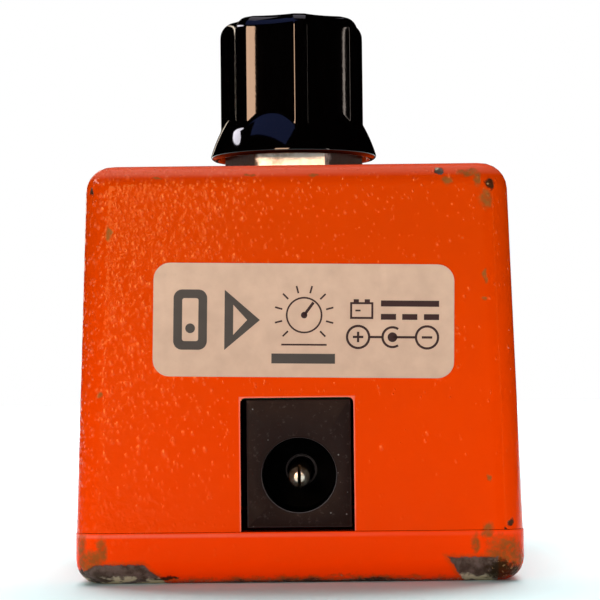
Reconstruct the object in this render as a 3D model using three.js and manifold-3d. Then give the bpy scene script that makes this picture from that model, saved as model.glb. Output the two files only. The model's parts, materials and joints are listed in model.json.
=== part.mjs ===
// Compact one-knob guitar effects pedal in a die-cast box, modelled as it comes apart on a bench.
// Millimetres, +Z up. The origin is on the surface the pedal stands on, under the middle of the box.
// -Y is the end wall with the power socket and +Y the player's end, so the input jack is on -X.
import * as THREE from "three";
import { mergeVertices } from "three/addons/utils/BufferGeometryUtils.js";
import Module from "manifold-3d";

const wasm = await Module();
wasm.setup();

// ---- Driving dimensions -------------------------------------------------------------------------
const DEG = Math.PI / 180;
const HALF_WIDTH = 19.3; // of the box where it meets the base plate
const HALF_LENGTH = 46.3;
const ROOF_Z = 36.15;
const PLATE_H = 4.4; // side height of the base plate
const PARTING_GAP = 0.03; // between the box and the base plate
const PLATE_LEDGE = 0.06; // the base plate stands this far proud of the box all round
const DRAFT = Math.tan(1.8 * DEG); // slope of the cast walls
const WALL = 2.0;
const ROOF = 2.2;
const CORNER_R = 2.5; // upright edges
const ROOF_EDGE_R = 2.2;
const PLATE_EDGE_R = 2.0;
const SCREW_X = 13.9;
const SCREW_Y = 41.0;
const BOSS_R = 3.9;

const KNOB_X = -0.4; // the pot sits this far off the centreline in its clearance hole
const KNOB_Y = -27.5;
const KNOB_FOOT_Z = 38.0;
const KNOB_TOP_Z = 51.0;
const KNOB_R = 6.76; // over the lands between the flutes
const SKIRT_R = 7.7;
const FLUTES = 7;
const FLUTE_FLOOR_R = 6.1; // from the knob's axis to the bottom of a flute
const FLUTE_HALF_ANGLE = 20.4 * DEG;
const FLUTE_PHASE = -108.7 * DEG; // first flute's middle, from +X
const POINTER_ANGLE = FLUTE_PHASE - (2.5 * 2 * Math.PI) / FLUTES; // on a land, facing the player
const SET_SCREW_ANGLE = POINTER_ANGLE - (2 * Math.PI) / FLUTES; // on the next land
const SHAFT_R = 3.0;
const POT_NUT_TURN = -3 * DEG; // as it was left when tightened

const BUTTON_X = 8.5;
const BUTTON_Y = -11.0;
const LED_Y = 9.0;
const FOOTSWITCH_Y = 30.0;
const JACK_Z = 12.3;
const INPUT_Y = -7.2;
const OUTPUT_Y = 8.5;
const PLUG_R = 3.3; // bore for a 6.35 mm plug
const POWER_X = 0.02;
const POWER_Z = 4.72; // underside of the power socket
const POWER_SIZE = new THREE.Vector3(9.0, 14.4, 11.0);
const POWER_FACE_Y = -45.6;
const POWER_HOLE_Z = 9.22;
const PIN_BEND = 1.4 * DEG; // its tip sags a little
const NOTCH_X = -0.12; // slot in the end wall for the power socket
const NOTCH_HALF_WIDTH = 4.87;
const NOTCH_TOP_Z = 15.88;

const JACK_BOARD_Z = 19.5;
const MAIN_BOARD_Z = 25.4;
const BOARD_T = 1.6;
const ROOF_UNDER_Z = ROOF_Z - ROOF;

// ---- Finishes -----------------------------------------------------------------------------------
const finish = (color, roughness, metalness) =>
  new THREE.MeshStandardMaterial({ color, roughness, metalness });
const PAINT = finish(0xe24506, 0.35, 0.1);
const LABEL_FILM = finish(0xdab99f, 0.55, 0);
const GLOSS_BLACK = finish(0x0a0a0b, 0.12, 0);
const SATIN_BLACK = finish(0x2b2726, 0.5, 0);
const WHITE = finish(0xf1efe8, 0.4, 0);
const NICKEL = finish(0xcfc9bd, 0.22, 1);
const CHROME = finish(0xdfe1e4, 0.08, 1);
const ZINC = finish(0xa9adb3, 0.35, 1);
const BOARD = finish(0x14532d, 0.45, 0);
const BLUE_PLASTIC = finish(0x1f4fa8, 0.4, 0);
const LED_BLUE = finish(0x9fc4ff, 0.1, 0);
const PHOSPHOR_BRONZE = finish(0xb08a52, 0.3, 1);
const NYLON = finish(0xe6e2d6, 0.5, 0);

// ---- Solids -------------------------------------------------------------------------------------
function solidOf(geometry) {
  const bare = geometry.index ? geometry.toNonIndexed() : geometry.clone();
  bare.deleteAttribute("normal");
  bare.deleteAttribute("uv");
  const merged = mergeVertices(bare, 1e-4);
  return new wasm.Manifold(
    new wasm.Mesh({
      numProp: 3,
      vertProperties: merged.attributes.position.array,
      triVerts: new Uint32Array(merged.index.array),
    }),
  );
}

function geometryOf(solid) {
  const { vertProperties, triVerts } = solid.getMesh();
  return new THREE.BufferGeometry()
    .setAttribute("position", new THREE.BufferAttribute(vertProperties, 3))
    .setIndex(new THREE.BufferAttribute(triVerts, 1));
}

const cut = (base, ...tools) =>
  geometryOf(tools.reduce((left, tool) => left.subtract(solidOf(tool)), solidOf(base)));
const join = (...pieces) =>
  geometryOf(pieces.slice(1).reduce((sum, piece) => sum.add(solidOf(piece)), solidOf(pieces[0])));
const common = (a, b) => geometryOf(solidOf(a).intersect(solidOf(b)));

// ---- Basic shapes -------------------------------------------------------------------------------
function block(x0, x1, y0, y1, z0, z1) {
  return new THREE.BoxGeometry(x1 - x0, y1 - y0, z1 - z0).translate(
    (x0 + x1) / 2,
    (y0 + y1) / 2,
    (z0 + z1) / 2,
  );
}

function rod(radius, z0, z1, sides = 24, x = 0, y = 0) {
  return new THREE.CylinderGeometry(radius, radius, z1 - z0, sides)
    .rotateX(Math.PI / 2)
    .translate(x, y, (z0 + z1) / 2);
}

// A solid turned about Z from [radius, z] pairs that run from the bottom up round its outside.
function turned(profile, sides = 24) {
  const points = profile.map(([r, z]) => new THREE.Vector2(r, z));
  return new THREE.LatheGeometry(points, sides).rotateX(Math.PI / 2);
}

const ring = (inner, outer, z0, z1, sides = 24) =>
  turned([[inner, z0], [outer, z0], [outer, z1], [inner, z1], [inner, z0]], sides);

function prism(shape, z0, z1, curveSegments = 6) {
  const settings = { depth: z1 - z0, bevelEnabled: false, curveSegments };
  return new THREE.ExtrudeGeometry(shape, settings).translate(0, 0, z0);
}

function hexNut(acrossFlats, boreR, z0, z1, turn = 0) {
  const shape = new THREE.Shape();
  const corner = acrossFlats / Math.sqrt(3);
  for (let i = 0; i < 6; i++) {
    const a = turn + i * 60 * DEG;
    shape[i ? "lineTo" : "moveTo"](corner * Math.cos(a), corner * Math.sin(a));
  }
  shape.holes.push(new THREE.Path().absarc(0, 0, boreR, 0, 2 * Math.PI, true));
  return prism(shape, z0, z1, 12);
}

// Points round a rounded rectangle, anticlockwise, the same number whatever its size.
function roundedOutline(halfX, halfY, radius, arcSteps) {
  const points = [];
  const corners = [[1, 1, 0], [-1, 1, 90], [-1, -1, 180], [1, -1, 270]];
  for (const [sx, sy, start] of corners) {
    for (let i = 0; i <= arcSteps; i++) {
      const a = (start + (90 * i) / arcSteps) * DEG;
      points.push([
        sx * (halfX - radius) + radius * Math.cos(a),
        sy * (halfY - radius) + radius * Math.sin(a),
      ]);
    }
  }
  return points;
}

// A closed solid through a stack of rounded rectangles: levels of { z, x, y, r } from the bottom up.
function loft(levels, arcSteps = 8) {
  const position = [];
  const index = [];
  for (const { z, x, y, r } of levels) {
    for (const [px, py] of roundedOutline(x, y, r, arcSteps)) position.push(px, py, z);
  }
  const count = 4 * (arcSteps + 1);
  for (let level = 0; level + 1 < levels.length; level++) {
    for (let i = 0; i < count; i++) {
      const a = level * count + i;
      const b = level * count + ((i + 1) % count);
      index.push(a, b, b + count, a, b + count, a + count);
    }
  }
  const top = (levels.length - 1) * count;
  for (let i = 1; i + 1 < count; i++) index.push(0, i + 1, i, top, top + i, top + i + 1);
  return new THREE.BufferGeometry()
    .setAttribute("position", new THREE.Float32BufferAttribute(position, 3))
    .setIndex(index);
}

const pedal = new THREE.Group();

function add(name, geometry, material, parent = pedal) {
  const mesh = new THREE.Mesh(geometry, material);
  mesh.name = name;
  parent.add(mesh);
  return mesh;
}

const cornerSpots = [[1, 1], [-1, 1], [-1, -1], [1, -1]].map(([sx, sy]) => [sx * SCREW_X, sy * SCREW_Y]);

// ---- Box: die-cast shell, open below -------------------------------------------------------------
function boxLevel(z, inset, r) {
  const lean = DRAFT * (z - PLATE_H) + inset;
  return { z, x: HALF_WIDTH - lean, y: HALF_LENGTH - lean, r };
}

function roofEdgeLevels(steps) {
  const levels = [];
  for (let i = 0; i <= steps; i++) {
    const a = (90 * DEG * i) / steps;
    const inset = ROOF_EDGE_R * (1 - Math.cos(a));
    const z = ROOF_Z - ROOF_EDGE_R * (1 - Math.sin(a));
    levels.push(boxLevel(z, inset, CORNER_R - inset * 0.9));
  }
  return levels;
}

function buildBox() {
  const foot = PLATE_H + PARTING_GAP;
  const outside = loft([boxLevel(foot, 0, CORNER_R), ...roofEdgeLevels(6)]);
  const cavity = loft([boxLevel(foot - 1, WALL, 1.5), boxLevel(ROOF_UNDER_Z, WALL, 1.5)], 3);
  const bosses = cornerSpots.map(([x, y]) => rod(BOSS_R, foot, ROOF_UNDER_Z + 0.5, 20, x, y));
  const pilots = cornerSpots.map(([x, y]) => rod(1.75, foot - 1, foot + 14, 12, x, y));
  const trimmedBosses = bosses.map((boss) => common(boss, outside));
  const through = [foot, ROOF_Z + 1];
  const notch = loft([0, 6].map((z) => ({ z, x: NOTCH_HALF_WIDTH, y: 8, r: 0.45 })), 3)
    .rotateX(90 * DEG)
    .translate(NOTCH_X, -HALF_LENGTH + 4, NOTCH_TOP_Z - 8);
  const holes = [
    rod(3.7, ...through, 20, KNOB_X, KNOB_Y),
    rod(2.8, ...through, 20, -BUTTON_X, BUTTON_Y),
    rod(2.8, ...through, 20, BUTTON_X, BUTTON_Y),
    rod(3.15, ...through, 20, 0, LED_Y),
    rod(6.2, ...through, 28, 0, FOOTSWITCH_Y),
    notch,
    rod(5.0, 0, HALF_WIDTH + 1, 24).rotateY(-90 * DEG).translate(0, INPUT_Y, JACK_Z),
    rod(5.0, 0, HALF_WIDTH + 1, 24).rotateY(90 * DEG).translate(0, OUTPUT_Y, JACK_Z),
  ];
  return cut(join(cut(outside, cavity), ...trimmedBosses), ...pilots, ...holes);
}

// ---- Base plate: cast lid with a locating lip and four countersunk holes -------------------------
function buildBasePlate() {
  const floor = 2.4;
  const level = (z, inset) => ({
    z,
    x: HALF_WIDTH + PLATE_LEDGE - inset,
    y: HALF_LENGTH + PLATE_LEDGE - inset,
    r: CORNER_R - inset * 0.9,
  });
  const levels = [];
  const steps = 6;
  for (let i = 0; i <= steps; i++) {
    const a = (90 * DEG * i) / steps;
    levels.push(level(PLATE_EDGE_R * (1 - Math.cos(a)), PLATE_EDGE_R * (1 - Math.sin(a))));
  }
  levels.push(level(PLATE_H, 0));
  const rim = 3.0;
  const pocket = loft(
    [floor, PLATE_H + 1].map((z) => ({ z, x: HALF_WIDTH - rim, y: HALF_LENGTH - rim, r: 2 })),
    3,
  );
  const pads = cornerSpots.map(([x, y]) => rod(BOSS_R + 0.3, floor - 1, PLATE_H + 2, 20, x, y));
  const lipTop = PLATE_H + 1.4;
  const lipOuter = loft(
    [PLATE_H - 0.5, lipTop].map((z) => ({ z, x: HALF_WIDTH - 2.4, y: HALF_LENGTH - 2.4, r: 1.4 })),
    3,
  );
  const lipInner = loft(
    [PLATE_H - 1, lipTop + 1].map((z) => ({ z, x: HALF_WIDTH - 3.3, y: HALF_LENGTH - 3.3, r: 1 })),
    3,
  );
  const jackGap = 8.6; // half length of the lip left out beside each jack
  const lip = cut(
    lipOuter,
    lipInner,
    ...pads,
    block(-6, 6, -HALF_LENGTH, -HALF_LENGTH + 5, PLATE_H, lipTop + 1),
    block(-HALF_WIDTH, 0, INPUT_Y - jackGap, INPUT_Y + jackGap, PLATE_H, lipTop + 1),
    block(0, HALF_WIDTH, OUTPUT_Y - jackGap, OUTPUT_Y + jackGap, PLATE_H, lipTop + 1),
  );
  const countersinks = cornerSpots.map(([x, y]) =>
    turned([[0, -0.5], [3.75, -0.5], [1.8, 1.45], [1.8, PLATE_H + 3], [0, PLATE_H + 3]], 20)
      .translate(x, y, 0),
  );
  return cut(join(cut(loft(levels), cut(pocket, ...pads)), lip), ...countersinks);
}

function buildLidScrew() {
  const shank = turned(
    [[0, 0.15], [2.75, 0.15], [1.5, 1.4], [1.5, 12], [1.1, 12.8], [0, 12.8]],
    16,
  );
  const slot = (turn) => block(-1.6, 1.6, -0.3, 0.3, -0.5, 1.25).rotateZ(turn);
  return cut(shank, join(slot(45 * DEG), slot(-45 * DEG)));
}

// ---- Rating label on the end wall ---------------------------------------------------------------
function addLabel() {
  const label = { halfWidth: 12.9, halfHeight: 4.9, cornerR: 1.5, t: 0.12, x: 0.54, z: 22.5 };
  const crooked = -1.0 * DEG; // it was stuck on a little askew
  const gap = 0.05;
  const film = loft(
    [0, label.t].map((z) => ({ z, x: label.halfWidth, y: label.halfHeight, r: label.cornerR })),
  ).rotateZ(crooked);
  const mesh = add("rating_label", film, LABEL_FILM);
  const wallY = -(HALF_LENGTH - DRAFT * (label.z - PLATE_H));
  mesh.rotation.x = 90 * DEG - Math.atan(DRAFT);
  mesh.position.set(label.x, wallY - gap, label.z);
}

// ---- Knob: fluted body on a flared skirt --------------------------------------------------------
function fluteShape() {
  const shape = new THREE.Shape();
  const half = FLUTE_HALF_ANGLE;
  const edge = new THREE.Vector2(KNOB_R * Math.cos(half), KNOB_R * Math.sin(half));
  // Centre and radius of the round cutter that passes through both edges and the floor of a flute.
  const cutterX = (edge.lengthSq() - FLUTE_FLOOR_R ** 2) / (2 * (edge.x - FLUTE_FLOOR_R));
  const cutterR = cutterX - FLUTE_FLOOR_R;
  const sweep = Math.asin(edge.y / cutterR);
  for (let i = 0; i < FLUTES; i++) {
    const middle = FLUTE_PHASE + (i * 2 * Math.PI) / FLUTES;
    const cx = cutterX * Math.cos(middle);
    const cy = cutterX * Math.sin(middle);
    const from = middle + Math.PI + sweep;
    if (i === 0) shape.moveTo(cx + cutterR * Math.cos(from), cy + cutterR * Math.sin(from));
    shape.absarc(cx, cy, cutterR, from, middle + Math.PI - sweep, true);
    shape.absarc(0, 0, KNOB_R, middle + half, middle + (2 * Math.PI) / FLUTES - half, false);
  }
  return shape;
}

// The knob's outline over a land, from the crown inwards: used for the crown, and for the pointer.
function crownProfile(inset) {
  const edgeR = 1.5;
  const points = [];
  for (let i = 0; i <= 4; i++) {
    const a = (90 * DEG * i) / 4;
    points.push([
      KNOB_R - edgeR + (edgeR - inset) * Math.cos(a),
      KNOB_TOP_Z - edgeR + (edgeR - inset) * Math.sin(a),
    ]);
  }
  return points;
}

function pointerStrip(inset, proud, halfWidth) {
  const shape = new THREE.Shape();
  const foot = KNOB_FOOT_Z + 4.6;
  const outer = [[KNOB_R + proud, foot], ...crownProfile(-proud), [1.2, KNOB_TOP_Z + proud]];
  const inner = [[1.2, KNOB_TOP_Z - inset], ...crownProfile(inset).reverse(), [KNOB_R - inset, foot]];
  [...outer, ...inner].forEach(([r, z], i) => shape[i ? "lineTo" : "moveTo"](r, z));
  return prism(shape, -halfWidth, halfWidth).rotateX(90 * DEG).rotateZ(POINTER_ANGLE);
}

function buildKnob() {
  const crown = turned([[0, KNOB_FOOT_Z + 1], [KNOB_R + 1, KNOB_FOOT_Z + 1],
    [KNOB_R + 1, KNOB_TOP_Z - 2], ...crownProfile(0), [0, KNOB_TOP_Z]], 56);
  const body = common(prism(fluteShape(), KNOB_FOOT_Z + 1.2, KNOB_TOP_Z, 4), crown);
  const foot = KNOB_FOOT_Z;
  const skirt = turned([[0, foot], [SKIRT_R - 0.35, foot], [SKIRT_R, foot + 0.35],
    [SKIRT_R - 0.2, foot + 1.0],
    [7.24, foot + 1.65], [6.98, foot + 2.3], [6.68, foot + 3.0], [6.4, foot + 3.5],
    [FLUTE_FLOOR_R, foot + 4.0], [5.0, foot + 4.6], [0, foot + 4.6]], 42);
  const recess = rod(6.85, foot - 1, foot + 1.8, 32);
  const bushingRoom = rod(3.8, foot - 1, foot + 3.4, 20);
  const shaftBore = rod(SHAFT_R + 0.2, foot, KNOB_TOP_Z - 2.5, 20);
  const screwHole = rod(1.5, 0, KNOB_R + 2, 12).rotateY(90 * DEG).rotateZ(SET_SCREW_ANGLE)
    .translate(0, 0, foot + 6.0);
  return cut(join(body, skirt), recess, bushingRoom, shaftBore, screwHole, pointerStrip(0.6, 0.5, 0.62));
}

function addKnob() {
  const group = new THREE.Group();
  group.position.set(KNOB_X, KNOB_Y, 0);
  pedal.add(group);
  add("knob", buildKnob(), GLOSS_BLACK, group);
  add("knob_pointer", pointerStrip(0.4, 0, 0.42), WHITE, group);
  const grub = cut(rod(1.3, SHAFT_R + 0.25, 5.6, 12), hexNut(1.3, 0.05, 4.4, 6));
  const screw = grub.rotateY(90 * DEG).rotateZ(SET_SCREW_ANGLE);
  add("knob_set_screw", screw.translate(0, 0, KNOB_FOOT_Z + 6.0), ZINC, group);
}

// ---- Potentiometer under the knob ---------------------------------------------------------------
function addPotentiometer() {
  const group = new THREE.Group();
  group.position.set(KNOB_X, KNOB_Y, 0);
  pedal.add(group);
  const deck = MAIN_BOARD_Z + BOARD_T;
  const top = ROOF_UNDER_Z - 0.1;
  const case_ = cut(block(-4.9, 4.9, -5.7, 5.7, deck, top), rod(3.4, deck + 1.5, top + 1, 20));
  add("pot_housing", case_, ZINC, group);
  const bushingTop = KNOB_FOOT_Z + 3.0;
  const bushing = turned([[3.2, top], [5.2, top], [5.2, top + 0.1], [3.5, top + 0.1],
    [3.5, bushingTop - 0.2], [3.3, bushingTop], [3.2, bushingTop], [3.2, top]]);
  add("pot_bushing", bushing, NICKEL, group);
  const shaft = cut(
    turned([[0, deck + 1.7], [SHAFT_R, deck + 1.7], [SHAFT_R, 47.7], [SHAFT_R - 0.3, 48.0], [0, 48.0]]),
    block(-4, 4, 2.6, 4, 42.5, 49).rotateZ(POINTER_ANGLE),
  );
  add("pot_shaft", shaft, NICKEL, group);
  add("pot_washer", ring(3.7, 6.2, ROOF_Z, ROOF_Z + 0.5, 28), NICKEL, group);
  add("pot_nut", hexNut(11.1, 3.65, ROOF_Z + 0.5, ROOF_Z + 2.5, POT_NUT_TURN), NICKEL, group);
}

// ---- Mode buttons and indicator lamp ------------------------------------------------------------
function addModeButton(side, x) {
  const deck = MAIN_BOARD_Z + BOARD_T;
  const group = new THREE.Group();
  group.position.set(x, BUTTON_Y, 0);
  pedal.add(group);
  const well = block(-1.6, 1.6, -1.6, 1.6, deck + 2, deck + 7);
  add(`mode_switch_${side}`, cut(block(-3.5, 3.5, -3.5, 3.5, deck, deck + 4.6), well), SATIN_BLACK, group);
  const stem = block(-1.3, 1.3, -1.3, 1.3, deck + 4.0, deck + 7.2);
  const cap = turned([[0, deck + 6.0], [2.5, deck + 6.0], [2.5, ROOF_Z + 2.2], [2.2, ROOF_Z + 2.5],
    [0, ROOF_Z + 2.5]]);
  add(`mode_button_${side}`, join(stem, cap), SATIN_BLACK, group);
}

function addLamp() {
  const group = new THREE.Group();
  group.position.set(0, LED_Y, 0);
  pedal.add(group);
  const bezel = turned([[2.65, ROOF_UNDER_Z - 1], [3.0, ROOF_UNDER_Z - 1], [3.0, ROOF_Z], [3.9, ROOF_Z],
    [3.9, ROOF_Z + 0.3], [3.5, ROOF_Z + 0.9], [2.65, ROOF_Z + 0.9], [2.65, ROOF_UNDER_Z - 1]]);
  add("led_bezel", bezel, CHROME, group);
  const dome = [0, 1, 2, 3, 4].map((i) => {
    const a = (90 * DEG * i) / 4;
    return [2.5 * Math.cos(a), ROOF_Z - 0.6 + 2.5 * Math.sin(a)];
  });
  const lamp = turned([[0, ROOF_UNDER_Z - 2.4], [2.9, ROOF_UNDER_Z - 2.4], [2.9, ROOF_UNDER_Z - 1.4],
    [2.5, ROOF_UNDER_Z - 1.4], ...dome]);
  const lead = (x) => rod(0.3, MAIN_BOARD_Z + BOARD_T, ROOF_UNDER_Z - 2.2, 8, x, 0);
  add("status_led", join(lamp, lead(-1.27), lead(1.27)), LED_BLUE, group);
}

// ---- Footswitch ---------------------------------------------------------------------------------
function addFootswitch() {
  const group = new THREE.Group();
  group.position.set(0, FOOTSWITCH_Y, 0);
  pedal.add(group);
  const bodyTop = 30.0;
  const bushing = turned([[4.4, bodyTop], [7.6, bodyTop], [7.6, bodyTop + 0.9], [5.95, bodyTop + 0.9],
    [5.95, 40.2], [5.6, 40.6], [4.4, 40.6], [4.4, bodyTop]], 28);
  add("footswitch_bushing", bushing, NICKEL, group);
  const lockNut = hexNut(14, 6.1, ROOF_UNDER_Z - 2.3, ROOF_UNDER_Z - 0.3, 30 * DEG);
  add("footswitch_lock_nut", lockNut, NICKEL, group);
  add("footswitch_washer", ring(6.15, 8.6, ROOF_Z, ROOF_Z + 0.8, 28), NYLON, group);
  add("footswitch_nut", hexNut(14, 6.1, ROOF_Z + 0.8, ROOF_Z + 3.0, 0), NICKEL, group);
  const plunger = turned([[0, 31.0], [1.6, 31.0], [1.6, 36.6], [4.1, 36.6], [4.1, 42.6], [5.0, 43.1],
    [5.0, 47.2], [4.7, 48.0], [4.0, 48.6], [2.6, 49.0], [0, 49.2]], 28);
  add("footswitch_plunger", plunger, CHROME, group);
  const housing = cut(block(-8.5, 8.5, -8.6, 8.6, 15.5, bodyTop - 1.0), rod(2.0, 26.0, 31, 16));
  add("footswitch_body", housing, BLUE_PLASTIC, group);
  const frameShell = block(-8.9, 8.9, -7.4, 7.4, 17.5, bodyTop);
  const frame = cut(frameShell, block(-8.6, 8.6, -9, 9, 16, bodyTop - 0.8), rod(2.1, 28, 31, 16));
  add("footswitch_frame", frame, ZINC, group);
  const lugs = [-5, 0, 5].flatMap((x) =>
    [-5, 0, 5].map((y) => block(x - 1.1, x + 1.1, y - 0.35, y + 0.35, 11.2, 14.9)));
  add("footswitch_terminals", join(block(-8, 8, -8, 8, 14.4, 15.3), ...lugs), PHOSPHOR_BRONZE, group);
  addFootswitchSpring(group);
}

class Helix extends THREE.Curve {
  constructor(radius, z0, z1, turns) {
    super();
    Object.assign(this, { radius, z0, z1, turns });
  }
  getPoint(t, target = new THREE.Vector3()) {
    const a = t * this.turns * 2 * Math.PI;
    return target.set(
      this.radius * Math.cos(a), this.radius * Math.sin(a), THREE.MathUtils.lerp(this.z0, this.z1, t),
    );
  }
}

function addFootswitchSpring(group) {
  const wireR = 0.35;
  const section = new THREE.Shape().absarc(0, 0, wireR, 0, 2 * Math.PI);
  const path = new Helix(2.7, 30.5, 36.1, 4);
  const coil = new THREE.ExtrudeGeometry(section, {
    steps: 48, curveSegments: 3, bevelEnabled: false, extrudePath: path,
  });
  add("footswitch_spring", coil, ZINC, group);
}

// ---- Jacks in the side walls --------------------------------------------------------------------
// Each is drawn with its mouth facing +Z and its board side facing local `up`, then turned outwards.
function addJack(name, side, y) {
  const group = new THREE.Group();
  group.position.set(0, y, JACK_Z);
  group.rotation.y = side * 90 * DEG;
  pedal.add(group);
  const seat = HALF_WIDTH + 0.05;
  const bodyFront = 16.4;
  const bodyBack = -9.0;
  const mouth = seat + 2.6;
  const bushing = turned([[PLUG_R, bodyFront], [4.75, bodyFront], [4.75, mouth - 0.25], [4.5, mouth],
    [PLUG_R, mouth], [PLUG_R, bodyFront]]);
  add(`${name}_jack_bushing`, bushing, NICKEL, group);
  add(`${name}_jack_washer`, ring(4.95, 7.0, seat, seat + 0.6), NICKEL, group);
  add(`${name}_jack_nut`, hexNut(12.7, 4.9, seat + 0.6, seat + 2.3, 30 * DEG), NICKEL, group);
  const shell = block(-7.0, 7.0, -7.6, 7.6, bodyBack, bodyFront);
  const window_ = block(-2.2, 2.2, 3.0, 6.2, -6.0, 6.0);
  const body = cut(shell, rod(PLUG_R, bodyBack - 1, bodyFront + 1, 24), window_);
  add(`${name}_jack_body`, body, SATIN_BLACK, group);
  const leaf = new THREE.Shape(
    [[4.7, -5.6], [5.1, -5.6], [5.1, -1.0], [3.2, 1.7], [5.4, 4.8], [5.4, 5.4], [5.0, 5.4], [2.75, 1.8],
      [2.75, 1.4], [4.7, -1.2]].map(([a, b]) => new THREE.Vector2(a, b)),
  );
  const tip = prism(leaf, -1.4, 1.4).applyMatrix4(
    new THREE.Matrix4().makeBasis(
      new THREE.Vector3(0, 1, 0), new THREE.Vector3(0, 0, 1), new THREE.Vector3(1, 0, 0),
    ),
  );
  add(`${name}_jack_tip_contact`, tip, PHOSPHOR_BRONZE, group);
}

// ---- Power socket in the end wall ---------------------------------------------------------------
function addPowerSocket() {
  const { x: w, y: depth, z: h } = POWER_SIZE;
  const back = POWER_FACE_Y + depth;
  const top = POWER_Z + h;
  const alongY = (geometry) => geometry.rotateX(-90 * DEG).translate(POWER_X, 0, POWER_HOLE_Z);
  const shell = block(POWER_X - w / 2, POWER_X + w / 2, POWER_FACE_Y, back, POWER_Z, top);
  const hole = alongY(rod(3.2, POWER_FACE_Y - 1, POWER_FACE_Y + 9.5, 28));
  const pinRoom = alongY(rod(1.2, POWER_FACE_Y, POWER_FACE_Y + 12.5, 16));
  const springRoom = block(
    POWER_X - 1.6, POWER_X + 1.6, POWER_FACE_Y + 3, back + 1, POWER_HOLE_Z + 2.9, top - 1,
  );
  add("power_socket_body", cut(shell, hole, pinRoom, springRoom), SATIN_BLACK);
  const pinRod = turned([[0, -2.0], [1.0, -2.0], [1.0, 8.0], [0.85, 8.5], [0.45, 8.9], [0, 9.0]], 16);
  const pin = cut(pinRod, block(-0.13, 0.13, -1.2, 1.2, 7.0, 9.5)).rotateX(PIN_BEND);
  // Drawn with its tip at +Z, then laid along -Y so that the tip stops just inside the mouth.
  pin.rotateX(90 * DEG).translate(POWER_X, POWER_FACE_Y + 10.2, POWER_HOLE_Z);
  add("power_socket_pin", pin, NICKEL);
  const leafZ = POWER_HOLE_Z + 3.35;
  const leaf = block(POWER_X - 1.3, POWER_X + 1.3, POWER_FACE_Y + 3.4, back - 0.4, leafZ, leafZ + 0.35);
  add("power_socket_spring", leaf, PHOSPHOR_BRONZE);
}

// ---- Circuit boards and what stands on them -----------------------------------------------------
function boardShape(y0, y1, tongueY, tongueHalf) {
  const half = 15.6;
  const points = [[-half, y1], [-half, tongueY], [-tongueHalf, tongueY], [-tongueHalf, y0],
    [tongueHalf, y0], [tongueHalf, tongueY], [half, tongueY], [half, y1]];
  return new THREE.Shape(points.map(([x, y]) => new THREE.Vector2(x, y)));
}

function addBoards() {
  const deck = MAIN_BOARD_Z + BOARD_T;
  const frontEdge = 17.5;
  const bossClear = -SCREW_Y + BOSS_R + 0.6;
  const drill = (z0) => [-11.5, 11.5].map((x) => rod(1.6, z0 - 1, z0 + 3, 12, x, 14.5));
  const mainPlate = prism(boardShape(-42.5, frontEdge, bossClear, 9.4), MAIN_BOARD_Z, deck);
  add("main_board", cut(mainPlate, ...drill(MAIN_BOARD_Z)), BOARD);
  const jackPlate = prism(boardShape(-32.5, frontEdge, -28, 9.4), JACK_BOARD_Z, JACK_BOARD_Z + BOARD_T);
  add("jack_board", cut(jackPlate, ...drill(JACK_BOARD_Z)), BOARD);
  const powerDeck = POWER_Z + POWER_SIZE.z;
  add("power_board", block(-8, 8, -43.5, -29, powerDeck, powerDeck + 1.2), BOARD);
  const pins = [-3, -2, -1, 0, 1, 2, 3].map((i) =>
    block(i * 2.54 - 0.32, i * 2.54 + 0.32, 14.18, 14.82, JACK_BOARD_Z + BOARD_T, MAIN_BOARD_Z));
  const strip = block(-8.9, 8.9, 13.25, 15.75, 22.0, 24.5);
  add("board_header", join(strip, ...pins), SATIN_BLACK);

  const chip = (x, y) => {
    const legs = [-3.5, 3.5].flatMap((dx) => [-3, -1, 1, 3].map((i) =>
      block(x + dx - 0.5, x + dx + 0.5, y + i * 1.27 - 0.25, y + i * 1.27 + 0.25, deck, deck + 1.4)));
    return join(block(x - 3.2, x + 3.2, y - 4.8, y + 4.8, deck + 0.5, deck + 3.6), ...legs);
  };
  add("op_amp_1", chip(-9.2, 0.5), SATIN_BLACK);
  add("op_amp_2", chip(9.2, 0.5), SATIN_BLACK);
  const can = (x, y, r, h) =>
    turned([[0, deck], [r, deck], [r, deck + h - 0.3], [r - 0.3, deck + h], [0, deck + h]], 16)
      .translate(x, y, 0);
  add("supply_capacitor", can(-11.3, -25, 2.6, 5.8), BLUE_PLASTIC);
  add("coupling_capacitor", can(-11.3, -18.8, 2.1, 5.4), BLUE_PLASTIC);
  add("film_capacitor_1", block(8.2, 15.2, -31.2, -28.6, deck, deck + 5.4), PHOSPHOR_BRONZE);
  add("film_capacitor_2", block(8.2, 15.2, -27.4, -24.8, deck, deck + 5.4), PHOSPHOR_BRONZE);
  const trimmerX = 11.5;
  const trimmerY = -19.8;
  const trimmer = new THREE.Group();
  trimmer.position.set(trimmerX, trimmerY, 0);
  pedal.add(trimmer);
  const case_ = cut(block(-3.2, 3.2, -3.2, 3.2, deck, deck + 3.6), rod(2.4, deck + 1.6, deck + 5, 16));
  add("bias_trimmer_body", case_, BLUE_PLASTIC, trimmer);
  const slots = [0, 90].map((turn) =>
    block(-1.7, 1.7, -0.35, 0.35, deck + 3.2, deck + 5).rotateZ(turn * DEG));
  add("bias_trimmer_rotor", cut(rod(2.1, deck + 1.8, deck + 3.9, 16), ...slots), WHITE, trimmer);
}

function addRibbon() {
  const side = new THREE.Shape(
    [[16.9, 18.6], [18.6, 18.6], [19.2, 10.2], [27.4, 10.2], [27.4, 10.8], [19.8, 10.8], [19.2, 19.2],
      [16.9, 19.2]].map(([y, z]) => new THREE.Vector2(y, z)),
  );
  const ribbon = prism(side, -4.5, 4.5).applyMatrix4(
    new THREE.Matrix4().makeBasis(
      new THREE.Vector3(0, 1, 0), new THREE.Vector3(0, 0, 1), new THREE.Vector3(1, 0, 0),
    ),
  );
  add("footswitch_ribbon", ribbon, WHITE);
}

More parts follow.
